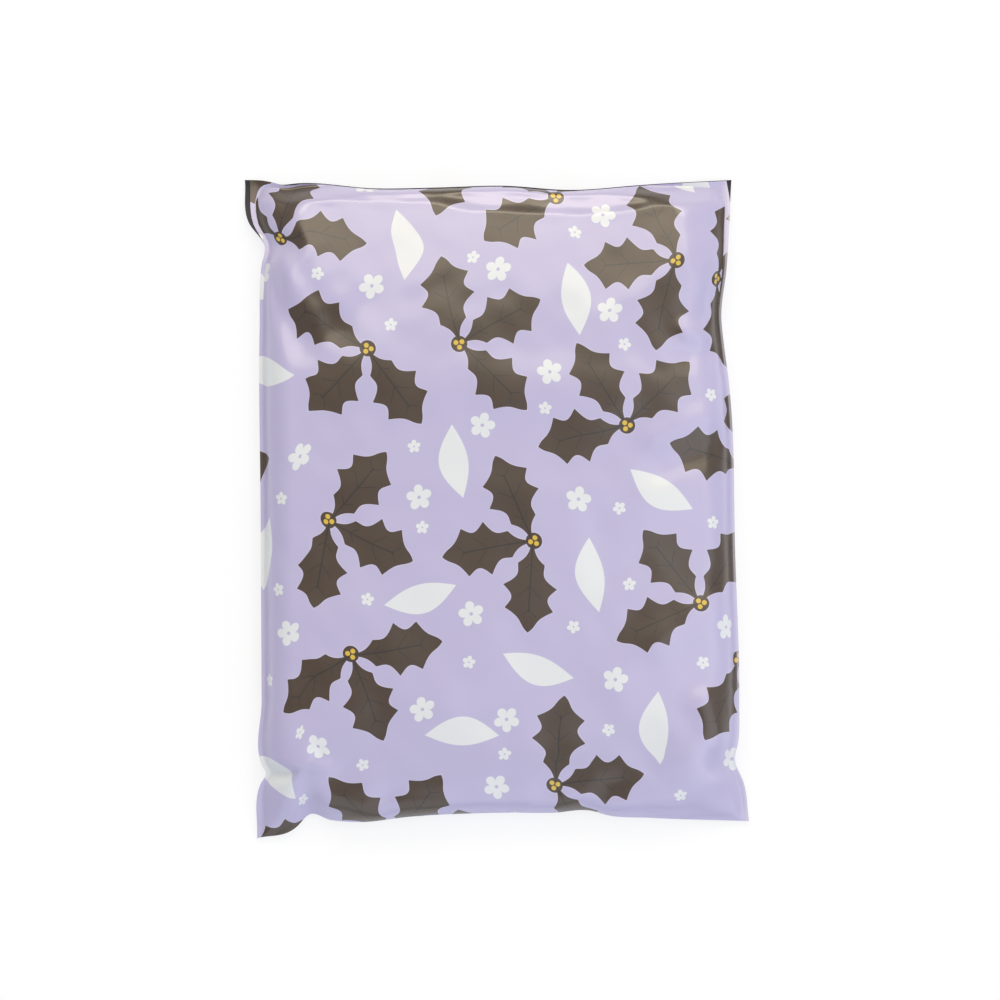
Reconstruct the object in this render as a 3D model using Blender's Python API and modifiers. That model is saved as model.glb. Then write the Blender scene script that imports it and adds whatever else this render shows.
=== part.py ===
"""A filled and sealed poly mailer, lying on its back: one closed solid.

The frame is in metres. X runs across the bag, Y towards the folded-over flap, and Z up out of
the printed front. The origin is under the middle of the bag's box, on the surface it lies on.
"""

import bmesh
import bpy
import numpy as np

MM = 0.001

# Corners of the sealed bag, seen from the front
FLAT_WIDTH = 252.0 * MM
FLAT_LENGTH = 332.0 * MM
SKEW = 7.7 * MM
BOTTOM_SPREAD = 2.8 * MM
LEFT_EAR_DROP = 8.9 * MM

# Film, seals and flap
FILM_EDGE = 0.6 * MM
SEAL_WIDTH = 2.5 * MM
FLAP_DEPTH = 55.0 * MM
FLAP_STEP = 0.6 * MM
FLAP_STEP_RUN = 0.8 * MM
FLAP_LIFT_FADE = 14.0 * MM

# Thickness of the pack and the height of its edges
PACK_THICKNESS = 25.0 * MM
SIDE_SEAM_HEIGHT = 10.0 * MM
END_EDGE_HEIGHT = 6.0 * MM
EAR_TIP_HEIGHT = 2.0 * MM
EAR_LENGTH = 34.0 * MM

# Shoulders, from the edge up to the gently crowned front
SIDE_SHOULDER_RUN = 15.0 * MM
SIDE_SHOULDER_RISE = 11.0 * MM
TOP_SHOULDER_RUN = 9.0 * MM
BOTTOM_SHOULDER_RUN = 12.0 * MM
END_SHOULDER_RISE = 8.0 * MM
CROWN_RUN = 75.0 * MM
BACK_SHOULDER_RUN = 15.0 * MM
EDGE_BLEND = 22.0 * MM

# Where the film's edge runs, as (share of the way from one corner to the next, drawn in, mm)
LEFT_SEAM = (
    (0.0, 0.0), (0.085, 3.0), (0.1, 5.8), (0.113, 3.9), (0.21, 4.4), (0.5, 5.7), (0.77, 6.9),
    (0.87, 8.6), (0.896, 10.3), (0.935, 1.8), (1.0, 0.0),
)
RIGHT_SEAM = (
    (0.0, 0.0), (0.06, 2.4), (0.098, 6.9), (0.127, 5.0), (0.19, 4.0), (0.41, 4.0), (0.69, 5.0),
    (0.745, 6.9), (0.785, 7.8), (0.86, 4.5), (0.925, 2.3), (1.0, 0.0),
)
BOTTOM_EDGE = (
    (0.0, 0.0), (0.08, 5.1), (0.106, 11.5), (0.15, 8.6), (0.21, 7.0), (0.31, 8.8), (0.5, 9.2),
    (0.6, 8.3), (0.68, 8.6), (0.71, 6.2), (0.8, 3.9), (0.9, 1.9), (1.0, 0.0),
)
TOP_EDGE = (
    (0.0, 0.0), (0.04, 0.5), (0.076, 2.6), (0.11, 2.0), (0.27, 4.8), (0.4, 4.3), (0.53, 3.4),
    (0.67, 5.6), (0.81, 3.1), (0.9, 1.5), (1.0, 0.0),
)

# Folds of the front film: (from, to, half width, rise), mm from the middle of the bag
FOLDS = (
    ((-118.0, 117.0), (-101.0, 84.0), 6.5, -3.2),
    ((-113.0, 131.0), (-86.0, 82.0), 5.0, 2.4),
    ((-86.0, 90.0), (-66.0, 106.0), 9.0, -1.2),
    ((-96.0, 92.0), (-88.0, 84.0), 12.0, -1.6),
    ((114.0, 127.0), (113.0, 99.0), 4.0, 2.4),
    ((105.0, 108.0), (107.0, 96.0), 5.5, -2.6),
    ((97.0, 91.5), (116.0, 92.0), 4.0, 2.8),
    ((100.0, 80.0), (116.0, 79.0), 6.0, -2.8),
    ((-87.0, 14.0), (106.0, 8.0), 4.0, 0.9),
    ((82.0, -68.0), (117.0, -47.0), 11.0, 1.4),
    ((105.0, -99.0), (122.0, -128.0), 8.0, 1.8),
    ((-121.0, -139.0), (-101.0, -136.0), 4.5, -4.0),
    ((-118.0, -130.0), (-90.0, -133.0), 4.5, 1.8),
    ((121.0, -130.0), (102.0, -137.0), 5.5, -3.4),
    ((-120.0, 135.0), (-98.0, 146.0), 5.0, -3.6),
    ((-108.0, 164.0), (-96.0, 148.0), 4.5, -2.2),
    ((112.0, 164.0), (100.0, 150.0), 5.0, -2.4),
    ((-62.0, -159.0), (-55.0, -144.0), 5.5, -2.6),
    ((20.0, -157.0), (26.0, -144.0), 7.0, -2.0),
    ((52.0, -158.0), (58.0, -140.0), 5.0, -2.6),
)

# Lines of the cage: packed towards the edges, where the film bends most
COLUMNS = 24
ROWS = 28
EDGE_PACKING = 0.55

FILM_COLOUR = (0.52, 0.46, 0.68, 1.0)
FILM_ROUGHNESS = 0.3


def clear_scene():
    for old in list(bpy.data.objects):
        bpy.data.objects.remove(old)


def ease(share):
    """0 at 0 and 1 at 1, level at both ends."""
    share = np.clip(share, 0.0, 1.0)
    return share * share * (3.0 - 2.0 * share)


def shoulder(share):
    """0 at 0, steep at first, and level once it reaches 1."""
    share = np.clip(share, 0.0, 1.0)
    return share * (2.0 - share)


def drawn_in(stations, share):
    shares, amounts = np.array(stations).T
    return np.interp(share, shares, amounts) * MM


def corners():
    """Bottom left, bottom right, top left and top right, around the middle of their box."""
    bottom_width = FLAT_WIDTH + BOTTOM_SPREAD
    top = LEFT_EAR_DROP + FLAT_LENGTH
    points = np.array(
        [
            (-bottom_width / 2, 0.0),
            (bottom_width / 2, LEFT_EAR_DROP),
            (-FLAT_WIDTH / 2 - SKEW, top),
            (FLAT_WIDTH / 2 - SKEW, top),
        ]
    )
    return points - (points.min(axis=0) + points.max(axis=0)) / 2


def plan(u, v):
    """Where the film's point (u, v) lies, seen from above: a patch stretched over the four edges."""
    bottom_left, bottom_right, top_left, top_right = corners()
    across, up = u[:, None], v[:, None]
    flat = (1 - up) * ((1 - across) * bottom_left + across * bottom_right)
    flat = flat + up * ((1 - across) * top_left + across * top_right)
    flat[:, 0] += (1 - u) * drawn_in(LEFT_SEAM, v) - u * drawn_in(RIGHT_SEAM, v)
    flat[:, 1] += (1 - v) * drawn_in(BOTTOM_EDGE, u) - v * drawn_in(TOP_EDGE, u)
    return flat[:, 0], flat[:, 1]


def from_edges(u, v):
    """Distances from the nearer side seal and from the nearer end."""
    return np.minimum(u, 1 - u) * FLAT_WIDTH - SEAL_WIDTH, np.minimum(v, 1 - v) * FLAT_LENGTH


def fill_depth(u, v):
    """How far inside the filled body a point is. It is below zero in the flat ears and seals."""
    side, end = from_edges(u, v)
    short_side, short_end = EAR_LENGTH - side, EAR_LENGTH - end
    in_corner = (short_side > 0) & (short_end > 0)
    return np.where(in_corner, EAR_LENGTH - np.hypot(short_side, short_end), np.minimum(side, end))


def end_share(u, v):
    """1 where an end is the nearer edge, 0 where a side is, and a soft change between."""
    side, end = from_edges(u, v)
    return ease(0.5 + (side - end) / (2 * EDGE_BLEND))


def edge_height(u, v):
    """Height of the seam line, carried inwards. The ears droop towards their tips."""
    ends = end_share(u, v)
    height = SIDE_SEAM_HEIGHT + (END_EDGE_HEIGHT - SIDE_SEAM_HEIGHT) * ends
    side, end = from_edges(u, v)
    inwards = ease(np.hypot(side + SEAL_WIDTH, end) / (1.3 * EAR_LENGTH))
    return EAR_TIP_HEIGHT + (height - EAR_TIP_HEIGHT) * inwards


def fold_relief(x, y):
    """The rise and fall of all the folds at each point of the front."""
    relief = np.zeros_like(x)
    for start, end, half_width, rise in FOLDS:
        begin, along = np.array(start) * MM, (np.array(end) - np.array(start)) * MM
        offset_x, offset_y = x - begin[0], y - begin[1]
        share = (offset_x * along[0] + offset_y * along[1]) / (along @ along)
        nearest = np.clip(share, 0.0, 1.0)
        distance = np.hypot(offset_x - nearest * along[0], offset_y - nearest * along[1])
        relief += rise * MM * np.exp(-((distance / (half_width * MM)) ** 2))
    return relief


def front_height(u, v, x, y):
    depth = fill_depth(u, v)
    ends = end_share(u, v)
    end_run = np.where(v > 0.5, TOP_SHOULDER_RUN, BOTTOM_SHOULDER_RUN)
    run = SIDE_SHOULDER_RUN + (end_run - SIDE_SHOULDER_RUN) * ends
    rise = SIDE_SHOULDER_RISE + (END_SHOULDER_RISE - SIDE_SHOULDER_RISE) * ends
    edge = edge_height(u, v)
    crown = (PACK_THICKNESS - edge - rise) * shoulder(depth / CROWN_RUN)
    filled = ease(depth / (0.5 * SIDE_SHOULDER_RUN))
    return edge + rise * shoulder(depth / run) + crown + fold_relief(x, y) * filled


def back_height(u, v):
    """The back lies flat on the surface, lifts to the seams, and steps over the flap's edge."""
    depth = fill_depth(u, v)
    lifted = edge_height(u, v) * (1 - shoulder(depth / BACK_SHOULDER_RUN)) - FILM_EDGE
    below_flap = (1 - v) * FLAT_LENGTH - FLAP_DEPTH
    step = FLAP_STEP * (1 - ease(below_flap / FLAP_LIFT_FADE)) * (below_flap > 0)
    return np.maximum(lifted, 0.0) + step


def packed_lines(count, low, high):
    """Lines from low to high, closer together near both ends."""
    even = np.linspace(0.0, 1.0, count)
    packed = even - EDGE_PACKING * np.sin(2 * np.pi * even) / (2 * np.pi)
    return low + (high - low) * packed


def column_lines():
    seal = SEAL_WIDTH / FLAT_WIDTH
    return np.concatenate([[0.0], packed_lines(COLUMNS - 1, seal, 1 - seal), [1.0]])


def row_lines():
    """Packed rows, with the nearest two moved to both sides of the flap's edge."""
    rows = packed_lines(ROWS + 1, 0.0, 1.0)
    flap_edge = 1 - FLAP_DEPTH / FLAT_LENGTH
    nearest = int(np.argmin(np.abs(rows - flap_edge)))
    rows[nearest] = flap_edge
    return np.insert(rows, nearest, flap_edge - FLAP_STEP_RUN / FLAT_LENGTH)


def edges_along(mesh, axis):
    return [e for e in mesh.edges if abs((e.verts[0].co - e.verts[1].co)[axis]) > 0.5]


def flat_cage(columns, rows):
    """A thin box cut into columns and rows: its top becomes the front and its bottom the back."""
    mesh = bmesh.new()
    bmesh.ops.create_cube(mesh, size=1.0)
    for axis, lines in ((0, columns), (1, rows)):
        bmesh.ops.subdivide_edges(
            mesh, edges=edges_along(mesh, axis), cuts=len(lines) - 2, use_grid_fill=True
        )
    return mesh


def shape_cage(mesh, columns, rows):
    box = np.array([v.co for v in mesh.verts]) + 0.5
    u = columns[np.rint(box[:, 0] * (len(columns) - 1)).astype(int)]
    v = rows[np.rint(box[:, 1] * (len(rows) - 1)).astype(int)]
    x, y = plan(u, v)
    height = np.where(box[:, 2] > 0.5, front_height(u, v, x, y), back_height(u, v))
    for vertex, place in zip(mesh.verts, np.column_stack([x, y, height])):
        vertex.co = place


def is_rim(face):
    return abs(face.normal.z) < 0.5


def crease_rim(mesh):
    """Keeps the film's cut edge and its four corners sharp under the subdivision."""
    creases = mesh.edges.layers.float.new("crease_edge")
    for edge in mesh.edges:
        rim_faces = [f for f in edge.link_faces if is_rim(f)]
        at_corner = len(rim_faces) == 2 and rim_faces[0].normal.dot(rim_faces[1].normal) < 0.5
        if len(rim_faces) == 1 or at_corner:
            edge[creases] = 1.0


def film_material():
    material = bpy.data.materials.new("printed_film")
    material.use_nodes = True
    shader = material.node_tree.nodes["Principled BSDF"]
    shader.inputs["Base Color"].default_value = FILM_COLOUR
    shader.inputs["Roughness"].default_value = FILM_ROUGHNESS
    shader.inputs["Metallic"].default_value = 0.0
    return material


def build_bag(collection):
    columns, rows = column_lines(), row_lines()
    cage = flat_cage(columns, rows)
    cage.normal_update()
    crease_rim(cage)
    shape_cage(cage, columns, rows)
    data = bpy.data.meshes.new("mailer_bag")
    cage.to_mesh(data)
    cage.free()
    bag = bpy.data.objects.new("mailer_bag", data)
    bag.data.materials.append(film_material())
    collection.objects.link(bag)
    smooth = bag.modifiers.new("smooth_film", "SUBSURF")
    smooth.levels = 1
    smooth.render_levels = 1
    return bag


def main():
    clear_scene()
    collection = bpy.data.collections.new("poly_mailer_bag")
    bpy.context.scene.collection.children.link(collection)
    build_bag(collection)


main()
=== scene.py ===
"""The looks of a filled and sealed poly mailer: printed satin film, its folds, seals and flap.

The bag lies on its back. X runs across it, Y towards the folded-over flap, Z out of the front.
"""

import math

import bpy
import numpy as np
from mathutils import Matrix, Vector

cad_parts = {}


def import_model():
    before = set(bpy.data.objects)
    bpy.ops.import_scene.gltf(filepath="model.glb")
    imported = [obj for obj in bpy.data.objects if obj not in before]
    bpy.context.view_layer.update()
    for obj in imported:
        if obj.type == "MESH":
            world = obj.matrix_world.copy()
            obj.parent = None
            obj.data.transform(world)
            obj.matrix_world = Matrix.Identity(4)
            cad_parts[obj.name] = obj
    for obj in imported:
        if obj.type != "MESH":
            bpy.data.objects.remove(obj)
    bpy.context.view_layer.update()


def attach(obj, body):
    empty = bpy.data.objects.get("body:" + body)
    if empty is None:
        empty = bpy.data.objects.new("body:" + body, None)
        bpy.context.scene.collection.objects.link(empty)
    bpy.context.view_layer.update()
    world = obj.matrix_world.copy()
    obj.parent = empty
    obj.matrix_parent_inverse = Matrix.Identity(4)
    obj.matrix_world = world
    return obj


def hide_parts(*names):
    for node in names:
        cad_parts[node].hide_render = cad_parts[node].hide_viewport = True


MM = 0.001

# The solid's own sizes, as in the part's source
FLAT_WIDTH = 252.0 * MM
FLAT_LENGTH = 332.0 * MM
SKEW = 7.7 * MM
BOTTOM_SPREAD = 2.8 * MM
LEFT_EAR_DROP = 8.9 * MM
SEAL_WIDTH = 2.5 * MM
FLAP_DEPTH = 55.0 * MM
FLAP_LIFT_FADE = 14.0 * MM
PACK_THICKNESS = 25.0 * MM
SIDE_SEAM_HEIGHT = 10.0 * MM
END_EDGE_HEIGHT = 6.0 * MM
EAR_TIP_HEIGHT = 2.0 * MM
EAR_LENGTH = 34.0 * MM
SIDE_SHOULDER_RUN = 15.0 * MM
SIDE_SHOULDER_RISE = 11.0 * MM
END_SHOULDER_RISE = 8.0 * MM
CROWN_RUN = 75.0 * MM
BACK_SHOULDER_RUN = 15.0 * MM
EDGE_BLEND = 22.0 * MM

# Where the film's shape is finer than the solid's
TOP_SHOULDER_RUN = 3.2 * MM
BOTTOM_SHOULDER_RUN = 9.0 * MM
CORNER_SHOULDER_RUN = 16.0 * MM
CORNER_ROUNDING = 1.6
BULGE_POWER = 0.72
EAR_SOFTNESS = 0.7
EAR_REACH = 2.0 * EAR_LENGTH
EAR_DROOP_REACH = 1.3 * EAR_LENGTH
FOLD_FADE_IN = 0.5 * SIDE_SHOULDER_RUN
CREASE_SHARPNESS = 0.3
FILM_GAP = 0.3 * MM
LEAST_DEPTH = 0.01 * MM

# Where the film's edge runs, as (share of the way from one corner to the next, drawn in, mm)
LEFT_SEAM = (
    (0.0, 0.0), (0.085, 3.0), (0.1, 5.8), (0.113, 3.9), (0.21, 4.4), (0.5, 5.7), (0.77, 6.9),
    (0.87, 8.6), (0.896, 10.3), (0.935, 1.8), (1.0, 0.0),
)
RIGHT_SEAM = (
    (0.0, 0.0), (0.06, 2.4), (0.098, 6.9), (0.127, 5.0), (0.19, 4.0), (0.41, 4.0), (0.69, 5.0),
    (0.745, 6.9), (0.785, 7.8), (0.86, 4.5), (0.925, 2.3), (1.0, 0.0),
)
# The same for the front and back film at the top, where the flap's dark inside shows past them
FRONT_LEFT_SEAM = LEFT_SEAM[:-2] + ((0.935, 4.2), (1.0, 2.6))
FRONT_RIGHT_SEAM = RIGHT_SEAM[:-1] + ((0.965, 1.2), (1.0, 2.6))
FLAP_SHOWS = 0.5
BOTTOM_EDGE = (
    (0.0, 0.0), (0.08, 5.1), (0.106, 11.5), (0.15, 8.6), (0.21, 7.0), (0.31, 8.8), (0.5, 9.2),
    (0.6, 8.3), (0.68, 8.6), (0.71, 6.2), (0.8, 3.9), (0.9, 1.9), (1.0, 0.0),
)
TOP_EDGE = (
    (0.0, 0.0), (0.04, 0.5), (0.076, 2.6), (0.11, 2.0), (0.27, 4.8), (0.4, 4.3), (0.53, 3.4),
    (0.67, 5.6), (0.81, 3.1), (0.9, 1.5), (1.0, 0.0),
)
FRONT_TOP_EDGE = tuple((share, amount + FLAP_SHOWS) for share, amount in TOP_EDGE)

# The ridge below the flap's fold, from which the film falls towards the fold: (x, y), mm
TOP_RIDGE = (
    (-130.0, 159.0), (-66.0, 158.5), (-34.0, 158.0), (-16.0, 153.5), (30.0, 151.5), (56.0, 151.5),
    (73.0, 154.0), (96.0, 158.0), (130.0, 159.0),
)
TOP_FACET_SLOPE = 0.2
TOP_STEP = 0.7 * MM
TOP_STEP_RUN = 1.1 * MM

# Soft folds of the front film: (from, to, half width, rise), mm from the middle of the bag
SOFT_FOLDS = (
    ((-118.0, 117.0), (-101.0, 84.0), 7.5, -1.9),
    ((-113.0, 131.0), (-86.0, 82.0), 6.0, 1.3),
    ((-86.0, 90.0), (-66.0, 106.0), 9.0, -1.0),
    ((-96.0, 92.0), (-88.0, 84.0), 12.0, -1.0),
    ((82.0, -68.0), (117.0, -47.0), 11.0, 1.6),
    ((105.0, -99.0), (122.0, -128.0), 8.0, 1.8),
    ((-70.0, 67.0), (90.0, 60.0), 15.0, 1.2),
    ((80.0, 36.0), (112.0, 50.0), 7.0, 1.5),
    ((84.0, 22.0), (116.0, 33.0), 7.0, -1.3),
    ((60.0, -20.0), (100.0, -30.0), 16.0, -0.8),
    ((-70.0, -60.0), (-30.0, -100.0), 20.0, 0.8),
)

# Creases, which come to a line: (from, to, half width, rise), mm from the middle of the bag
CREASES = (
    ((114.0, 127.0), (112.0, 99.0), 2.6, 1.8),
    ((109.0, 122.0), (108.0, 100.0), 2.2, -1.0),
    ((105.0, 108.0), (107.0, 95.0), 4.0, -2.0),
    ((95.0, 91.0), (117.0, 92.5), 2.4, 2.0),
    ((100.0, 80.0), (116.0, 79.0), 5.0, -2.2),
    ((-87.0, 14.0), (106.0, 8.0), 2.2, 0.65),
    ((-119.0, -137.0), (-105.0, -135.0), 2.4, -2.4),
    ((-118.0, -131.0), (-88.0, -132.0), 3.0, 1.5),
    ((122.0, -130.0), (112.0, -134.0), 4.0, -1.2),
    ((-120.0, 133.0), (-106.0, 139.0), 3.6, -1.6),
    ((-62.0, -159.0), (-55.0, -144.0), 4.0, -1.8),
    ((20.0, -157.0), (26.0, -144.0), 5.0, -1.4),
    ((52.0, -158.0), (58.0, -140.0), 3.6, -1.8),
)

# Lines of the film's mesh
COLUMNS = 190
ROWS = 250
FLAP_ROWS = 60
EDGE_PACKING = 0.5

# Its place in the square map, OFBake, that colours are baked by
BAKE_FROM = 0.005
BAKE_TO = 0.995

# Spare film and stiffness for the film's simulation
MIDDLE_SLACK = 0.0006
EDGE_SLACK = 0.007
CORNER_SLACK = 0.006
SLACK_RUN = 45.0 * MM
CORNER_SLACK_RUN = 80.0 * MM
START_NOISE = 0.22 * MM
START_NOISE_SEED = 11
START_NOISE_WAVES = 60
START_NOISE_LENGTHS = (14.0, 80.0)
FILM_STIFFNESS = 0.3
DIAGONAL_STIFFNESS = 0.4
SETTLE_ROUNDS = 300
PINNED_RUN = 2.0 * MM

# How far the film may sink below the filled shape and lift off it: in the middle, and more at the edge
SINK_MIDDLE, SINK_EDGE, SINK_RUN = 0.5 * MM, 0.7 * MM, 25.0 * MM
LIFT_MIDDLE, LIFT_EDGE, LIFT_RUN = 0.8 * MM, 1.2 * MM, 40.0 * MM

# Colours of the film and its inks, linear
LILAC = (0.466, 0.435, 0.655)
DEEP_LILAC = (0.438, 0.407, 0.628)
PALE_LILAC = (0.580, 0.555, 0.750)
INK_BROWN = (0.042, 0.022, 0.010)
INK_BROWN_LIGHT = (0.054, 0.030, 0.015)
VEIN_BROWN = (0.012, 0.009, 0.007)
INK_WHITE = (0.672, 0.698, 0.742)
MUSTARD = (0.62, 0.42, 0.04)
SEAL_GREY = (0.58, 0.57, 0.68)
CHARCOAL = (0.014, 0.013, 0.021)
CHARCOAL_LIGHT = tuple(1.5 * level for level in CHARCOAL)

# Gloss and fine relief of the film. The scales are per mm of film
FILM_ROUGHNESS = 0.36
ROUGHNESS_SPREAD = 0.10
SPECULAR_LEVEL = 0.75
COAT_WEIGHT = 0.55
INNER_SPECULAR_LEVEL = 0.3
COAT_ROUGHNESS = 0.16
RELIEF_STRENGTH = 0.25
RELIEF_HEIGHT = 0.35 * MM
WAVE_SCALE = 0.09
GRAIN_SCALE = 1.6
GRAIN_SHARE = 0.06
GLOSS_SCALE = 0.05
LILAC_SCALE = 0.02
INK_SCALE = 0.15
CHARCOAL_SCALE = 0.3

# The pale line round the dark inks, and the welded band along the right edge, in mm
HALO_WIDTH = 0.45
HALO_SHARE = 0.6
WELD_WIDTH = 1.2
WELD_EDGE = 0.4
WELD_SHARE = 0.45

# Light. Places and sizes of the lamps are in metres
TENT_SIDE_COLOUR = (0.88, 0.95, 1.02)
TENT_TOP_COLOUR = (0.98, 0.98, 1.02)
TENT_STRENGTH = 0.285
TENT_LEFT_SHADE = 0.07
TENT_SIDE_LIFT = 0.28
WARM_LAMP = (1.0, 0.905, 0.71)
COOL_LAMP = (0.92, 0.97, 1.05)
LAMPS = (
    # name, place, size, power, colour
    ("sheen_light", (0.0, 1.6, 3.2), (2.8, 1.6), 37.0, WARM_LAMP),
    ("ridge_light", (0.0, 2.5, 1.9), (3.2, 0.8), 53.0, WARM_LAMP),
    ("fill_light", (0.0, -2.6, 1.7), (4.6, 2.8), 31.0, COOL_LAMP),
    ("side_light", (1.0, -0.45, 1.5), (1.2, 2.0), 8.6, COOL_LAMP),
)
LAMP_AIM = (0.0, 0.1, 0.0)
FLOOR_COLOUR = (0.90, 0.92, 0.98)
FLOOR_ROUGHNESS = 0.8
FLOOR_HALF_SIDE = 3.0
FLOOR_DROP = 0.0002
FLOOR_GLOW = 0.78

# The camera looks straight down, with this many mm to a pixel of the photo at the seams' height
PIXEL_SIZE = 0.515
PHOTO_SIDE = 1000
CAMERA_HEIGHT = 1.5
CAMERA_PLACE = (1.6 * MM, 4.7 * MM)
SENSOR_WIDTH = 36.0

# The print repeats in both directions. Its motifs are scattered over one tile, in mm
TILE = (300.0, 400.0)
FRONT_PRINT_SHIFT = (150.0, 200.0)
BACK_PRINT_SHIFT = (20.0, 60.0)
FLAP_PRINT_SHIFT = (150.0, 395.0)
SCATTER_SEED = 5
SCATTER_TRIES = 250
MOTIF_GAP = 2.8
OWN_KIND_SHARE = 0.15
SPRIG_COUNT = 22
PETAL_COUNT = 15
BLOSSOM_COUNT = 24
SMALL_BLOSSOM_COUNT = 34
LEAF_LENGTH = 47.0
LEAF_TURNS = (74.0, -2.0, -78.0)
LEAF_WIDTH_SHARE = 0.31
LEAF_SWELL = 1.35
LEAF_LOBES = 4
SCOOP_SHARE = 0.36
TIP_MARGIN = 0.2
RIB_HALF_WIDTH = 0.36
RIB_SHARE = 0.78
SIDE_VEIN_HALF_WIDTH = 0.28
SIDE_VEIN_SLANT = 0.9
SIDE_VEIN_MARGIN = 3.0
PETAL_LENGTH = 38.0
PETAL_WIDTH = 15.0
PETAL_BEND = 0.3
BLOSSOM_RADIUS = 6.6
SMALL_BLOSSOM_RADIUS = 3.4
BLOSSOM_PETALS = 5
BLOSSOM_NOTCH = 0.55
BLOSSOM_ROUNDING = 0.6
BLOSSOM_HOLE = 0.14
BERRIES = ((-1.6, 1.5), (-1.4, -1.5), (1.2, 0.2))
BERRY_RADIUS = 1.25
SPRIG_HEART_RADIUS = 4.2
SPRIG_HEART_X = -0.6
INK_EDGE = 0.15

# Discs that stand for a motif when the motifs are kept apart: share of its length, and radius
SPRIG_MIDDLE_RADIUS = 6.0
LEAF_DISCS = ((0.3, 0.26), (0.55, 0.29), (0.82, 0.16))
PETAL_DISCS = (-0.35, -0.18, 0.0, 0.18, 0.35)


def ease(share):
    """0 at 0 and 1 at 1, level at both ends."""
    share = np.clip(share, 0.0, 1.0)
    return share * share * (3.0 - 2.0 * share)


def shoulder(share):
    """0 at 0, steep at first, and level once it reaches 1."""
    share = np.clip(share, 0.0, 1.0)
    return share * (2.0 - share)


def bulge(share, softness):
    """Like shoulder, but nearly upright at first, as film is that its filling pushes out."""
    return shoulder(share) ** (BULGE_POWER + softness)


def drawn_in(stations, share):
    """A smooth line through the stations."""
    shares, amounts = np.array(stations).T
    slopes = np.gradient(amounts, shares)
    at = np.clip(np.searchsorted(shares, share, side="right") - 1, 0, len(shares) - 2)
    span = shares[at + 1] - shares[at]
    t = (share - shares[at]) / span
    start, end = amounts[at], amounts[at + 1]
    bend = (1 - t) ** 2 * t * span * slopes[at] - t**2 * (1 - t) * span * slopes[at + 1]
    return (start + (end - start) * ease(t) + bend) * MM


def corners():
    """Bottom left, bottom right, top left and top right, around the middle of their box."""
    bottom_width = FLAT_WIDTH + BOTTOM_SPREAD
    top = LEFT_EAR_DROP + FLAT_LENGTH
    points = np.array(
        [
            (-bottom_width / 2, 0.0),
            (bottom_width / 2, LEFT_EAR_DROP),
            (-FLAT_WIDTH / 2 - SKEW, top),
            (FLAT_WIDTH / 2 - SKEW, top),
        ]
    )
    return points - (points.min(axis=0) + points.max(axis=0)) / 2


def plan(u, v, left_seam=LEFT_SEAM, right_seam=RIGHT_SEAM, top_edge=TOP_EDGE):
    """Where the film's point (u, v) lies, seen from above: a patch stretched over the four edges."""
    bottom_left, bottom_right, top_left, top_right = corners()
    across, up = u[:, None], v[:, None]
    flat = (1 - up) * ((1 - across) * bottom_left + across * bottom_right)
    flat = flat + up * ((1 - across) * top_left + across * top_right)
    flat[:, 0] += (1 - u) * drawn_in(left_seam, v) - u * drawn_in(right_seam, v)
    flat[:, 1] += (1 - v) * drawn_in(BOTTOM_EDGE, u) - v * drawn_in(top_edge, u)
    return flat[:, 0], flat[:, 1]


def from_edges(u, v):
    """Distances from the nearer side seal and from the nearer end."""
    return np.minimum(u, 1 - u) * FLAT_WIDTH - SEAL_WIDTH, np.minimum(v, 1 - v) * FLAT_LENGTH


def fill_depth(u, v):
    """How far inside the filled body a point is: less than its distance from either edge."""
    side, end = (np.maximum(distance, LEAST_DEPTH) for distance in from_edges(u, v))
    power = CORNER_ROUNDING
    return (side**-power + end**-power) ** (-1 / power)


def end_share(u, v):
    """1 where an end is the nearer edge, 0 where a side is, and a soft change between."""
    side, end = from_edges(u, v)
    return ease(0.5 + (side - end) / (2 * EDGE_BLEND))


def edge_height(u, v):
    """Height of the seam line, carried inwards. The ears droop towards their tips."""
    ends = end_share(u, v)
    height = SIDE_SEAM_HEIGHT + (END_EDGE_HEIGHT - SIDE_SEAM_HEIGHT) * ends
    side, end = from_edges(u, v)
    inwards = ease(np.hypot(side + SEAL_WIDTH, end) / EAR_DROOP_REACH)
    return EAR_TIP_HEIGHT + (height - EAR_TIP_HEIGHT) * inwards


def distance_to_line(x, y, start, end):
    """How far each point is from the line from start to end, both in mm."""
    begin, along = np.array(start) * MM, (np.array(end) - np.array(start)) * MM
    offset_x, offset_y = x - begin[0], y - begin[1]
    nearest = np.clip((offset_x * along[0] + offset_y * along[1]) / (along @ along), 0.0, 1.0)
    return np.hypot(offset_x - nearest * along[0], offset_y - nearest * along[1])


def fold_relief(x, y):
    """The rise and fall of all the folds and creases at each point of the front."""
    relief = np.zeros_like(x)
    for start, end, half_width, rise in SOFT_FOLDS:
        distance = distance_to_line(x, y, start, end)
        relief += rise * MM * np.exp(-((distance / (half_width * MM)) ** 2))
    for start, end, half_width, rise in CREASES:
        distance = distance_to_line(x, y, start, end)
        softened = np.hypot(distance, CREASE_SHARPNESS * half_width * MM)
        relief += rise * MM * np.exp(-softened / (half_width * MM))
    return relief


def corner_share(u, v):
    """1 at the ears, easing to 0 along the sides and the ends."""
    side, end = from_edges(u, v)
    return 1 - ease(np.hypot(side, end) / EAR_REACH)


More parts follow.
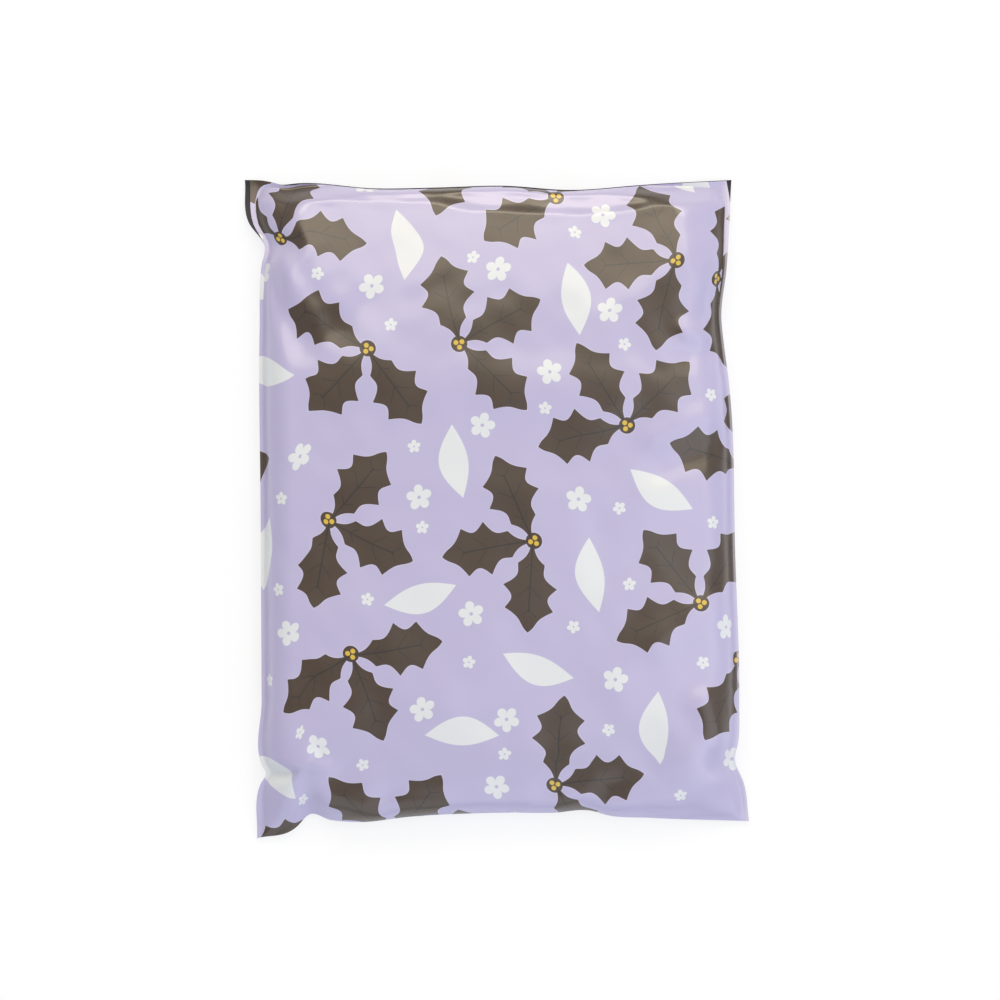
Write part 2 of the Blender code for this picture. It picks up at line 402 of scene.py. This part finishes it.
def front_height(u, v, x, y):
    """Height of the filled front: the seam line, a shoulder, a low crown and the folds."""
    depth = fill_depth(u, v)
    ends = end_share(u, v)
    end_run = np.where(v > 0.5, TOP_SHOULDER_RUN, BOTTOM_SHOULDER_RUN)
    run = SIDE_SHOULDER_RUN + (end_run - SIDE_SHOULDER_RUN) * ends
    at_ear = corner_share(u, v)
    run = run + CORNER_SHOULDER_RUN * at_ear
    rise = SIDE_SHOULDER_RISE + (END_SHOULDER_RISE - SIDE_SHOULDER_RISE) * ends
    edge = edge_height(u, v)
    crown = (PACK_THICKNESS - edge - rise) * shoulder(depth / CROWN_RUN)
    filled = ease(depth / FOLD_FADE_IN)
    relief = fold_relief(x, y) * filled - top_facet(x, y) * shoulder(depth / TOP_SHOULDER_RUN)
    return edge + rise * bulge(depth / run, EAR_SOFTNESS * at_ear) + crown + relief


def top_facet(x, y):
    """How far the film has fallen below the pack's top, beyond the ridge near the flap's fold."""
    ridge_x, ridge_y = np.array(TOP_RIDGE).T * MM
    beyond = np.maximum(y - np.interp(x, ridge_x, ridge_y), 0.0)
    return TOP_FACET_SLOPE * beyond + TOP_STEP * (1 - np.exp(-beyond / TOP_STEP_RUN))


def back_height(u, v):
    """The back lies flat, lifts to the seams, and clears the flap that lies under it."""
    depth = fill_depth(u, v)
    lifted = edge_height(u, v) * (1 - shoulder(depth / BACK_SHOULDER_RUN)) - FILM_GAP
    below_flap = (1 - v) * FLAT_LENGTH - FLAP_DEPTH
    over_flap = 2 * FILM_GAP * (1 - ease(below_flap / FLAP_LIFT_FADE))
    return np.maximum(lifted, 0.0) + over_flap


def packed_lines(count, low, high):
    """Lines from low to high, closer together near both ends."""
    even = np.linspace(0.0, 1.0, count)
    packed = even - EDGE_PACKING * np.sin(2 * np.pi * even) / (2 * np.pi)
    return low + (high - low) * packed


def film_lengths(places):
    """Each point's place on the flat film, measured along the mesh lines from the middle, in mm."""
    middle = np.array(places.shape[:2]) // 2
    across = np.linalg.norm(np.diff(places, axis=1), axis=2)
    along = np.linalg.norm(np.diff(places, axis=0), axis=2)
    across = np.pad(np.cumsum(across, axis=1), ((0, 0), (1, 0)))
    along = np.pad(np.cumsum(along, axis=0), ((1, 0), (0, 0)))
    across -= across[:, middle[1] : middle[1] + 1]
    along -= along[middle[0] : middle[0] + 1, :]
    return np.stack([across, along], axis=2) / MM


def grid_faces(rows, columns, upwards):
    """The squares of a grid of points, with their fronts up or down."""
    corner = (np.arange(rows - 1)[:, None] * columns + np.arange(columns - 1)).ravel()
    quads = np.stack([corner, corner + 1, corner + columns + 1, corner + columns], axis=1)
    return quads if upwards else quads[:, ::-1]


def family(array, step, parity):
    """The two ends of every second edge along one step of the grid, as views into the array."""
    down, right = step
    if down == 0:
        return array[:, parity:-1:2], array[:, parity + 1 :: 2]
    first, second = array[parity:-1:2], array[parity + 1 :: 2]
    if right == 0:
        return first, second
    return (first[:, :-1], second[:, 1:]) if right > 0 else (first[:, 1:], second[:, :-1])


def wave_noise(u, v, seed, count, shortest, longest):
    """A smooth random surface, about -1 to 1, made from waves of these lengths in mm."""
    random = np.random.default_rng(seed)
    total = np.zeros_like(u)
    for _ in range(count):
        length = random.uniform(shortest, longest) * MM
        turn = random.uniform(0, 2 * math.pi)
        across, along = math.cos(turn) / length, math.sin(turn) / length
        phase = random.uniform(0, 2 * math.pi)
        total += np.sin(2 * math.pi * (u * FLAT_WIDTH * across + v * FLAT_LENGTH * along) + phase)
    return total / math.sqrt(count)


def surface_normals(places):
    across = np.gradient(places, axis=1)
    along = np.gradient(places, axis=0)
    normals = np.cross(across, along)
    return normals / np.linalg.norm(normals, axis=2, keepdims=True)


def rest_lengths(places, step, parity, slack):
    """The lengths of these edges on the shape, with the spare film added."""
    first, second = family(places, step, parity)
    slack_first, slack_second = family(slack, step, parity)
    length = np.linalg.norm(second - first, axis=2)
    return length * (1 + (slack_first + slack_second) / 2)


def pull_edges(places, free, step, parity, rest, stiffness):
    """Moves the ends of these edges so that each edge comes nearer to its own length."""
    first, second = family(places, step, parity)
    free_first, free_second = family(free, step, parity)
    offset = second - first
    length = np.sqrt(np.einsum("ijk,ijk->ij", offset, offset))
    share = stiffness * (length - rest) / (length * np.maximum(free_first + free_second, 1.0))
    change = offset * share[..., None]
    first += change * free_first[..., None]
    second -= change * free_second[..., None]


def smooth_bends(places, free, stiffness):
    """The film's own stiffness: takes out bends as short as a few mesh lines."""
    bend = np.zeros_like(places)
    bend[1:-1, 1:-1] = (
        places[:-2, 1:-1] + places[2:, 1:-1] + places[1:-1, :-2] + places[1:-1, 2:]
    ) / 4 - places[1:-1, 1:-1]
    change = np.zeros_like(places)
    change[1:-1, 1:-1] = (
        bend[:-2, 1:-1] + bend[2:, 1:-1] + bend[1:-1, :-2] + bend[1:-1, 2:]
    ) / 4 - bend[1:-1, 1:-1]
    places -= stiffness * change * free[..., None]


def settle_film(shape, free, slack, start_noise, lowest, highest, rounds):
    """Cloth simulation: film a little longer than the shape under it buckles into folds.

    shape is the filled body that the film lies on. The film may leave it by lowest to highest.
    """
    normals = surface_normals(shape)
    places = shape + normals * start_noise[..., None] * free[..., None]
    straight = [((0, 1), 1.0), ((1, 0), 1.0)]
    steps = straight + [((1, 1), DIAGONAL_STIFFNESS), ((1, -1), DIAGONAL_STIFFNESS)]
    edges = [(s, k, parity) for s, k in steps for parity in (0, 1)]
    rests = [rest_lengths(shape, s, parity, slack) for s, _, parity in edges]
    for _ in range(rounds):
        for (step, stiffness, parity), rest in zip(edges, rests):
            pull_edges(places, free, step, parity, rest, stiffness)
        smooth_bends(places, free, FILM_STIFFNESS)
        off = np.einsum("ijk,ijk->ij", places - shape, normals)
        places += normals * ((np.clip(off, lowest, highest) - off) * free)[..., None]
    return places


def film_object(name, places, upwards, material, motifs, print_shift):
    """A sheet of film over a grid of places, with its print laid out by the film's own lengths."""
    rows, columns = places.shape[:2]
    faces = grid_faces(rows, columns, upwards)
    data = bpy.data.meshes.new(name)
    data.from_pydata(places.reshape(-1, 3).tolist(), [], faces.tolist())
    data.polygons.foreach_set("use_smooth", [True] * len(faces))
    corner_points = np.empty(len(data.loops), int)
    data.loops.foreach_get("vertex_index", corner_points)
    share_up, share_across = np.meshgrid(
        np.linspace(BAKE_FROM, BAKE_TO, rows), np.linspace(BAKE_FROM, BAKE_TO, columns), indexing="ij"
    )
    bake_map = np.stack([share_across, share_up], axis=2).reshape(-1, 2)
    print_map = film_lengths(places).reshape(-1, 2) + print_shift
    for map_name, values in (("OFBake", bake_map), ("print_mm", print_map)):
        layer = data.uv_layers.new(name=map_name)
        layer.data.foreach_set("uv", values[corner_points].astype(np.float32).ravel())
    for kind in motifs.poses if motifs else ():
        poses = motifs.nearest_poses(kind, print_map[faces].mean(axis=1))
        layer = data.attributes.new(kind + "_pose", "FLOAT_VECTOR", "FACE")
        layer.data.foreach_set("vector", poses.astype(np.float32).ravel())
    data.materials.append(material)
    obj = bpy.data.objects.new(name, data)
    bpy.context.scene.collection.objects.link(obj)
    return obj


def store_seal_distance(obj, u):
    """How far each point is from the right-hand cut edge, in mm, where the welded band shows."""
    distance = (1 - u) * FLAT_WIDTH / MM
    layer = obj.data.attributes.new("seal_mm", "FLOAT", "POINT")
    layer.data.foreach_set("value", distance.astype(np.float32))


def film_grid():
    """The (u, v) of each point of the film's mesh."""
    columns = packed_lines(COLUMNS, 0.0, 1.0)
    rows = packed_lines(ROWS, 0.0, 1.0)
    v, u = np.meshgrid(rows, columns, indexing="ij")
    return u, v


def front_slack(u, v):
    """Spare film, as a share of its length: most where the shoulders meet the ears."""
    depth = fill_depth(u, v)
    side, end = from_edges(u, v)
    near_edge = 1 - ease(depth / SLACK_RUN)
    near_corner = 1 - ease(np.hypot(side, end) / CORNER_SLACK_RUN)
    return MIDDLE_SLACK + EDGE_SLACK * near_edge + CORNER_SLACK * near_corner


def settled_front(u, v):
    """The front film on the filled shape, after the cloth simulation."""
    shape = u.shape
    u, v = u.ravel(), v.ravel()
    x, y = plan(u, v, FRONT_LEFT_SEAM, FRONT_RIGHT_SEAM, FRONT_TOP_EDGE)
    places = np.column_stack([x, y, front_height(u, v, x, y)]).reshape(*shape, 3)
    depth = fill_depth(u, v)
    side, end = from_edges(u, v)
    free = ease(np.minimum(side, end) / PINNED_RUN)
    waves = wave_noise(u, v, START_NOISE_SEED, START_NOISE_WAVES, *START_NOISE_LENGTHS)
    noise_height = START_NOISE * waves
    lowest = -SINK_MIDDLE - SINK_EDGE * (1 - ease(depth / SINK_RUN))
    highest = LIFT_MIDDLE + LIFT_EDGE * (1 - ease(depth / LIFT_RUN))
    shaped = [a.reshape(shape) for a in (free, front_slack(u, v), noise_height, lowest, highest)]
    return settle_film(places, *shaped, rounds=SETTLE_ROUNDS)


def front_panel(material, motifs):
    u, v = film_grid()
    places = settled_front(u, v)
    panel = film_object("front_panel", places, True, material, motifs, FRONT_PRINT_SHIFT)
    store_seal_distance(panel, u.ravel())
    return panel


def back_panel(material, motifs):
    u, v = film_grid()
    x, y = plan(u.ravel(), v.ravel(), FRONT_LEFT_SEAM, FRONT_RIGHT_SEAM, FRONT_TOP_EDGE)
    z = back_height(u.ravel(), v.ravel())
    places = np.column_stack([x, y, z]).reshape(*u.shape, 3)
    panel = film_object("back_panel", places, False, material, motifs, BACK_PRINT_SHIFT)
    store_seal_distance(panel, u.ravel())
    return panel


def flap_panels(film, inside, motifs):
    """The glued-down flap under the back, and its dark inner face just above it."""
    columns = packed_lines(COLUMNS // 2, 0.0, 1.0)
    rows = 1 - FLAP_DEPTH / FLAT_LENGTH * np.linspace(1.0, 0.0, FLAP_ROWS)
    v, u = np.meshgrid(rows, columns, indexing="ij")
    shape, u, v = u.shape, u.ravel(), v.ravel()
    x, y = plan(u, v)
    depth = fill_depth(u, v)
    lifted = edge_height(u, v) * (1 - shoulder(depth / BACK_SHOULDER_RUN)) - 2 * FILM_GAP
    z = np.maximum(lifted, 0.0)
    outer = np.column_stack([x, y, z]).reshape(*shape, 3)
    inner = outer + (0.0, 0.0, FILM_GAP / 2)
    flap = film_object("flap", outer, False, film, motifs, FLAP_PRINT_SHIFT)
    lining = film_object("flap_inside", inner, True, inside, None, (0.0, 0.0))
    store_seal_distance(flap, u)
    return flap, lining


class Signal:
    """A number on its way through a node tree, so that sums in the tree read as sums."""

    def __init__(self, tree, socket):
        self.tree, self.socket = tree, socket

    def math(self, operation, *others):
        node = self.tree.nodes.new("ShaderNodeMath")
        node.operation = operation
        for slot, value in zip(node.inputs, (self, *others)):
            feed(self.tree, value, slot)
        return Signal(self.tree, node.outputs[0])

    def __add__(self, other):
        return self.math("ADD", other)

    def __sub__(self, other):
        return self.math("SUBTRACT", other)

    def __rsub__(self, other):
        return self.math("MULTIPLY", -1.0) + other

    def __mul__(self, other):
        return self.math("MULTIPLY", other)

    def share_within(self, softness):
        """0 well below zero, 1 well above it, and a soft edge at zero."""
        return (self * (1.0 / softness) + 0.5).math("MINIMUM", 1.0).math("MAXIMUM", 0.0)


def feed(tree, value, slot):
    """Links a signal or a socket to a slot, or sets the slot to a plain value."""
    if isinstance(value, Signal):
        tree.links.new(value.socket, slot)
    elif isinstance(value, bpy.types.NodeSocket):
        tree.links.new(value, slot)
    else:
        slot.default_value = value


def vector_node(tree, operation, first, second):
    node = tree.nodes.new("ShaderNodeVectorMath")
    node.operation = operation
    feed(tree, first, node.inputs[0])
    feed(tree, second, node.inputs[1])
    return node


def split(tree, vector):
    """The X, Y and Z of a vector."""
    node = tree.nodes.new("ShaderNodeSeparateXYZ")
    feed(tree, vector, node.inputs[0])
    return [Signal(tree, output) for output in node.outputs]


def turned(tree, vector, angle):
    """The vector turned about Z by an angle in radians, which may be a signal."""
    node = tree.nodes.new("ShaderNodeVectorRotate")
    node.rotation_type = "Z_AXIS"
    feed(tree, vector, node.inputs["Vector"])
    feed(tree, angle, node.inputs["Angle"])
    return node.outputs[0]


def new_group(name, outputs):
    """An empty group with a Vector input in mm, and the sockets that its signals go out by."""
    tree = bpy.data.node_groups.new(name, "ShaderNodeTree")
    tree.interface.new_socket("Vector", in_out="INPUT", socket_type="NodeSocketVector")
    for output in outputs:
        tree.interface.new_socket(output, in_out="OUTPUT", socket_type="NodeSocketFloat")
    inside = tree.nodes.new("NodeGroupInput")
    outside = tree.nodes.new("NodeGroupOutput")
    return tree, inside.outputs[0], outside.inputs


def use_group(tree, group, vector):
    """What a group says of a vector, one signal for each of its outputs."""
    node = tree.nodes.new("ShaderNodeGroup")
    node.node_tree = group
    feed(tree, vector, node.inputs[0])
    return [Signal(tree, out) for out in node.outputs]


def disc(tree, vector, x, y, radius):
    """How far inside a disc a place is, in mm."""
    node = vector_node(tree, "DISTANCE", vector, (x, y, 0.0))
    return radius - Signal(tree, node.outputs["Value"])


def leaf_group():
    """A pointed leaf along X with scooped edges. Both results are in mm, above zero inside."""
    tree, vector, out = new_group("leaf", ("Leaf", "Vein"))
    x, y, _ = split(tree, vector)
    along = (x * (1.0 / LEAF_LENGTH)).math("MINIMUM", 1.0).math("MAXIMUM", 0.0)
    swell = (along.math("POWER", LEAF_SWELL) * math.pi).math("SINE")
    width = swell * (LEAF_WIDTH_SHARE * LEAF_LENGTH)
    scoops = (along * (LEAF_LOBES * math.pi)).math("SINE").math("ABSOLUTE")
    edge = width * (1.0 - scoops * SCOOP_SHARE)
    off_rib = y.math("ABSOLUTE")
    ends = (x + TIP_MARGIN).math("MINIMUM", (LEAF_LENGTH + TIP_MARGIN) - x)
    leaf = (edge - off_rib).math("MINIMUM", ends)
    rib = (RIB_HALF_WIDTH - off_rib).math("MINIMUM", (RIB_SHARE * LEAF_LENGTH) - x)
    slanted = (x - off_rib * SIDE_VEIN_SLANT) * (LEAF_LOBES / LEAF_LENGTH)
    from_vein = ((slanted + 0.5).math("FRACT") - 0.5).math("ABSOLUTE") * (LEAF_LENGTH / LEAF_LOBES)
    side_vein = (SIDE_VEIN_HALF_WIDTH - from_vein).math("MINIMUM", leaf - SIDE_VEIN_MARGIN)
    feed(tree, leaf, out[0])
    feed(tree, rib.math("MAXIMUM", side_vein), out[1])
    return tree


def sprig_group(leaf):
    """A fan of leaves that meet at a few berries."""
    tree, vector, out = new_group("sprig", ("Leaf", "Vein", "Berry"))
    turns = [math.radians(-turn) for turn in LEAF_TURNS]
    leaves = [use_group(tree, leaf, turned(tree, vector, turn)) for turn in turns]
    heart = disc(tree, vector, SPRIG_HEART_X, 0.0, SPRIG_HEART_RADIUS)
    inside = most([found for found, _ in leaves] + [heart])
    veins = most([vein.math("MINIMUM", found - TIP_MARGIN) for found, vein in leaves])
    feed(tree, inside, out[0])
    feed(tree, veins, out[1])
    feed(tree, most([disc(tree, vector, x, y, BERRY_RADIUS) for x, y in BERRIES]), out[2])
    return tree


def petal_group():
    """A plain almond shape along X, slightly bent."""
    tree, vector, out = new_group("petal", ("Petal",))
    x, y, _ = split(tree, vector)
    along = (x * (1.0 / PETAL_LENGTH) + 0.5).math("MINIMUM", 1.0).math("MAXIMUM", 0.0)
    width = (along * math.pi).math("SINE") * (PETAL_WIDTH / 2)
    ends = (PETAL_LENGTH / 2) - x.math("ABSOLUTE")
    inside = width - (y + width * PETAL_BEND).math("ABSOLUTE")
    feed(tree, inside.math("MINIMUM", ends), out[0])
    return tree


def blossom_group(name, radius):
    """Round petals in a ring, with a small hole in the middle."""
    tree, vector, out = new_group(name, ("Blossom",))
    x, y, _ = split(tree, vector)
    angle = y.math("ARCTAN2", x)
    beat = (angle * (BLOSSOM_PETALS / 2)).math("COSINE").math("ABSOLUTE")
    petals = beat.math("POWER", BLOSSOM_ROUNDING)
    reach = (petals * BLOSSOM_NOTCH + (1 - BLOSSOM_NOTCH)) * radius
    from_middle = (x * x + y * y).math("SQRT")
    off_hole = from_middle - BLOSSOM_HOLE * radius
    feed(tree, (reach - from_middle).math("MINIMUM", off_hole), out[0])
    return tree


def most(signals):
    """The greatest of the signals at each place."""
    found = signals[0]
    for signal in signals[1:]:
        found = found.math("MAXIMUM", signal)
    return found


def sprig_discs():
    """Discs that cover a sprig, to keep other motifs off it: (x, y, radius)."""
    discs = [(0.0, 0.0, SPRIG_MIDDLE_RADIUS)]
    for turn in LEAF_TURNS:
        across, along = math.cos(math.radians(turn)), math.sin(math.radians(turn))
        for share, radius_share in LEAF_DISCS:
            distance = share * LEAF_LENGTH
            discs.append((distance * across, distance * along, radius_share * LEAF_LENGTH))
    return discs


def petal_discs():
    """The same for a petal."""
    return [(x * PETAL_LENGTH, 0.0, (0.5 - abs(x)) * PETAL_WIDTH) for x in PETAL_DISCS]


def posed(discs, x, y, turn):
    """The discs of a motif moved to (x, y) and turned."""
    cos, sin = math.cos(math.radians(turn)), math.sin(math.radians(turn))
    local = np.array(discs)
    places = local[:, :2] @ np.array([[cos, sin], [-sin, cos]]) + (x, y)
    return np.column_stack([places, local[:, 2]])


def clearance(discs, others):
    """The smallest gap between two sets of discs on the repeating tile."""
    if len(others) == 0:
        return min(TILE)
    apart = discs[:, None, :2] - others[None, :, :2]
    apart -= np.array(TILE) * np.rint(apart / np.array(TILE))
    reach = discs[:, None, 2] + others[None, :, 2]
    return (np.linalg.norm(apart, axis=2) - reach).min()


def scattered_motifs(kinds):
    """Places for every motif of the tile, the largest first, well apart from its own kind."""
    random = np.random.default_rng(SCATTER_SEED)
    taken = np.empty((0, 3))
    found = []
    counts = (SPRIG_COUNT, PETAL_COUNT, BLOSSOM_COUNT, SMALL_BLOSSOM_COUNT)
    for discs, count in zip(kinds, counts):
        places, own = [], np.empty((0, 3))
        for _ in range(count):
            poses = random.uniform((0, 0, 0), (*TILE, 360), size=(SCATTER_TRIES, 3))
            trials = [posed(discs, *pose) for pose in poses]
            gaps = np.array([clearance(trial, taken) for trial in trials])
            own_gaps = np.array([clearance(trial, own) for trial in trials])
            worth = np.where(gaps > MOTIF_GAP, np.minimum(gaps, OWN_KIND_SHARE * own_gaps), 0.0)
            best = int(np.argmax(worth))
            if worth[best] > 0:
                taken, own = np.vstack([taken, trials[best]]), np.vstack([own, trials[best]])
                places.append(poses[best])
        found.append(places)
    return found


class Print:
    """Where every motif of the print lies, and which of them each face of the film is nearest to."""

    def __init__(self):
        self.discs = {
            "sprig": sprig_discs(),
            "petal": petal_discs(),
            "blossom": [(0.0, 0.0, BLOSSOM_RADIUS)],
            "small_blossom": [(0.0, 0.0, SMALL_BLOSSOM_RADIUS)],
        }
        self.poses = dict(zip(self.discs, scattered_motifs(self.discs.values())))

    def nearest_poses(self, kind, places):
        """For each place, (x, y, turn) of the motif of this kind whose discs come nearest."""
        poses = self.poses[kind]
        near = np.full(len(places), np.inf)
        found = np.zeros((len(places), 3))
        for pose in poses:
            for x, y, radius in posed(self.discs[kind], *pose):
                apart = places - (x, y)
                repeats = np.rint(apart / TILE) * TILE
                distance = np.linalg.norm(apart - repeats, axis=1) - radius
                closer = distance < near
                near[closer] = distance[closer]
                found[closer, :2] = np.array(pose[:2]) + repeats[closer]
                found[closer, 2] = math.radians(pose[2])
        return found


def seen_from_motif(tree, place, kind):
    """The print's place as seen from the nearest motif of one kind."""
    pose = tree.nodes.new("ShaderNodeAttribute")
    pose.attribute_name = kind + "_pose"
    x, y, turn = split(tree, pose.outputs["Vector"])
    middle = tree.nodes.new("ShaderNodeCombineXYZ")
    feed(tree, x, middle.inputs[0])
    feed(tree, y, middle.inputs[1])
    shifted = vector_node(tree, "SUBTRACT", place, middle.outputs[0])
    return turned(tree, shifted.outputs["Vector"], turn * -1.0)


def print_inks(tree, place):
    """How far inside each ink a place on the film is, in mm: leaf, vein, berry and white."""
    sprig = sprig_group(leaf_group())
    leaf, vein, berry = use_group(tree, sprig, seen_from_motif(tree, place, "sprig"))
    whites = []
    for kind, group in (
        ("petal", petal_group()),
        ("blossom", blossom_group("blossom", BLOSSOM_RADIUS)),
        ("small_blossom", blossom_group("small_blossom", SMALL_BLOSSOM_RADIUS)),
    ):
        whites += use_group(tree, group, seen_from_motif(tree, place, kind))
    return leaf, vein, berry, most(whites)


def mix_colour(tree, share, first, second):
    node = tree.nodes.new("ShaderNodeMix")
    node.data_type = "RGBA"
    feed(tree, share, node.inputs[0])
    for slot, value in ((6, first), (7, second)):
        if isinstance(value, tuple):
            node.inputs[slot].default_value = (*value, 1.0)
        else:
            feed(tree, value, node.inputs[slot])
    return node.outputs[2]


def noise(tree, vector, scale, detail=2.0):
    node = tree.nodes.new("ShaderNodeTexNoise")
    feed(tree, vector, node.inputs["Vector"])
    node.inputs["Scale"].default_value = scale
    node.inputs["Detail"].default_value = detail
    return Signal(tree, node.outputs[0])


def new_material(name):
    """A material, its node tree and its shader."""
    material = bpy.data.materials.new(name)
    material.use_nodes = True
    tree = material.node_tree
    return material, tree, tree.nodes["Principled BSDF"]


def film_relief(tree, shader, place):
    """Fine waviness and grain of blown film."""
    waves = noise(tree, place, WAVE_SCALE, detail=3.0)
    grain = noise(tree, place, GRAIN_SCALE)
    bump = tree.nodes.new("ShaderNodeBump")
    bump.inputs["Strength"].default_value = RELIEF_STRENGTH
    bump.inputs["Distance"].default_value = RELIEF_HEIGHT
    feed(tree, waves + grain * GRAIN_SHARE, bump.inputs["Height"])
    tree.links.new(bump.outputs[0], shader.inputs["Normal"])
    roughness = noise(tree, place, GLOSS_SCALE) * ROUGHNESS_SPREAD + FILM_ROUGHNESS
    feed(tree, roughness, shader.inputs["Roughness"])
    shader.inputs["Specular IOR Level"].default_value = SPECULAR_LEVEL
    shader.inputs["Coat Weight"].default_value = COAT_WEIGHT
    shader.inputs["Coat Roughness"].default_value = COAT_ROUGHNESS


def place_on_film(tree):
    """Where on the flat film the shaded point is, in mm."""
    uv = tree.nodes.new("ShaderNodeUVMap")
    uv.uv_map = "print_mm"
    return uv.outputs[0]


def printed_film(name):
    """Lilac film with its inks laid over each other, and the welded band last."""
    material, tree, shader = new_material(name)
    place = place_on_film(tree)
    leaf, vein, berry, white = print_inks(tree, place)
    colour = mix_colour(tree, noise(tree, place, LILAC_SCALE), DEEP_LILAC, LILAC)
    halo = (leaf + HALO_WIDTH).share_within(INK_EDGE) * HALO_SHARE
    colour = mix_colour(tree, halo, colour, PALE_LILAC)
    ink = mix_colour(tree, noise(tree, place, INK_SCALE, detail=4.0), INK_BROWN, INK_BROWN_LIGHT)
    ink = mix_colour(tree, vein.share_within(INK_EDGE), ink, VEIN_BROWN)
    colour = mix_colour(tree, leaf.share_within(INK_EDGE), colour, ink)
    colour = mix_colour(tree, berry.share_within(INK_EDGE), colour, MUSTARD)
    colour = mix_colour(tree, white.share_within(INK_EDGE), colour, INK_WHITE)
    seal = tree.nodes.new("ShaderNodeAttribute")
    seal.attribute_name = "seal_mm"
    welded = (WELD_WIDTH - Signal(tree, seal.outputs["Fac"])).share_within(WELD_EDGE)
    colour = mix_colour(tree, welded * WELD_SHARE, colour, SEAL_GREY)
    tree.links.new(colour, shader.inputs["Base Color"])
    film_relief(tree, shader, place)
    return material


def charcoal_film():
    """The film's dark inner face."""
    material, tree, shader = new_material("charcoal_film")
    place = place_on_film(tree)
    mottle = noise(tree, place, CHARCOAL_SCALE, detail=3.0)
    tree.links.new(mix_colour(tree, mottle, CHARCOAL, CHARCOAL_LIGHT), shader.inputs["Base Color"])
    film_relief(tree, shader, place)
    shader.inputs["Specular IOR Level"].default_value = INNER_SPECULAR_LEVEL
    shader.inputs["Coat Weight"].default_value = 0.0
    return material


def studio():
    """A white table in a light tent, with soft warm lamps beyond the flap and soft cool ones near."""
    world = bpy.data.worlds.new("studio")
    bpy.context.scene.world = world
    world.use_nodes = True
    tree = world.node_tree
    background = tree.nodes["Background"]
    direction = tree.nodes.new("ShaderNodeTexCoord")
    sideways, _, upwards = split(tree, direction.outputs["Generated"])
    rise = upwards.math("MAXIMUM", 0.0).math("SQRT")
    colour = mix_colour(tree, rise, TENT_SIDE_COLOUR, TENT_TOP_COLOUR)
    tree.links.new(colour, background.inputs["Color"])
    strength = sideways * TENT_LEFT_SHADE + sideways.math("ABSOLUTE") * TENT_SIDE_LIFT
    feed(tree, strength + TENT_STRENGTH, background.inputs["Strength"])
    for lamp in LAMPS:
        add_light(*lamp)
    add_floor()


def add_light(name, place, size, power, colour):
    data = bpy.data.lights.new(name, "AREA")
    data.shape = "RECTANGLE"
    data.size, data.size_y = size
    data.energy = power
    data.color = colour
    light = bpy.data.objects.new(name, data)
    bpy.context.scene.collection.objects.link(light)
    light.location = place
    direction = Vector(LAMP_AIM) - Vector(place)
    light.rotation_euler = direction.to_track_quat("-Z", "Y").to_euler()


def add_floor():
    """The white table, which glows a little to the camera alone, so that it renders white."""
    side = FLOOR_HALF_SIDE
    square = [(-side, -side, 0), (side, -side, 0), (side, side, 0), (-side, side, 0)]
    data = bpy.data.meshes.new("floor")
    data.from_pydata(square, [], [(0, 1, 2, 3)])
    floor = bpy.data.objects.new("floor", data)
    bpy.context.scene.collection.objects.link(floor)
    floor.location.z = -FLOOR_DROP
    material, tree, shader = new_material("white_table")
    shader.inputs["Base Color"].default_value = (*FLOOR_COLOUR, 1.0)
    shader.inputs["Roughness"].default_value = FLOOR_ROUGHNESS
    glow = tree.nodes.new("ShaderNodeEmission")
    glow.inputs["Color"].default_value = (1.0, 1.0, 1.0, 1.0)
    mix = tree.nodes.new("ShaderNodeMixShader")
    path = tree.nodes.new("ShaderNodeLightPath")
    seen = Signal(tree, path.outputs["Is Camera Ray"]) * FLOOR_GLOW
    feed(tree, seen, mix.inputs[0])
    tree.links.new(shader.outputs[0], mix.inputs[1])
    tree.links.new(glow.outputs[0], mix.inputs[2])
    tree.links.new(mix.outputs[0], tree.nodes["Material Output"].inputs["Surface"])
    data.materials.append(material)


def add_camera():
    """Straight above the bag, as in the photograph."""
    data = bpy.data.cameras.new("photo_camera")
    data.sensor_width = SENSOR_WIDTH
    data.lens = SENSOR_WIDTH * CAMERA_HEIGHT / (PHOTO_SIDE * PIXEL_SIZE * MM)
    camera = bpy.data.objects.new("photo_camera", data)
    bpy.context.scene.collection.objects.link(camera)
    camera.location = (*CAMERA_PLACE, CAMERA_HEIGHT + SIDE_SEAM_HEIGHT)
    bpy.context.scene.camera = camera


def main():
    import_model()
    film = printed_film("printed_film")
    motifs = Print()
    flap, lining = flap_panels(film, charcoal_film(), motifs)
    front, back = front_panel(film, motifs), back_panel(film, motifs)
    for piece in (front, back, flap, lining):
        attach(piece, "root")
        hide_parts("mailer_bag")
    studio()
    add_camera()
    bpy.context.scene.view_settings.view_transform = "Standard"


main()
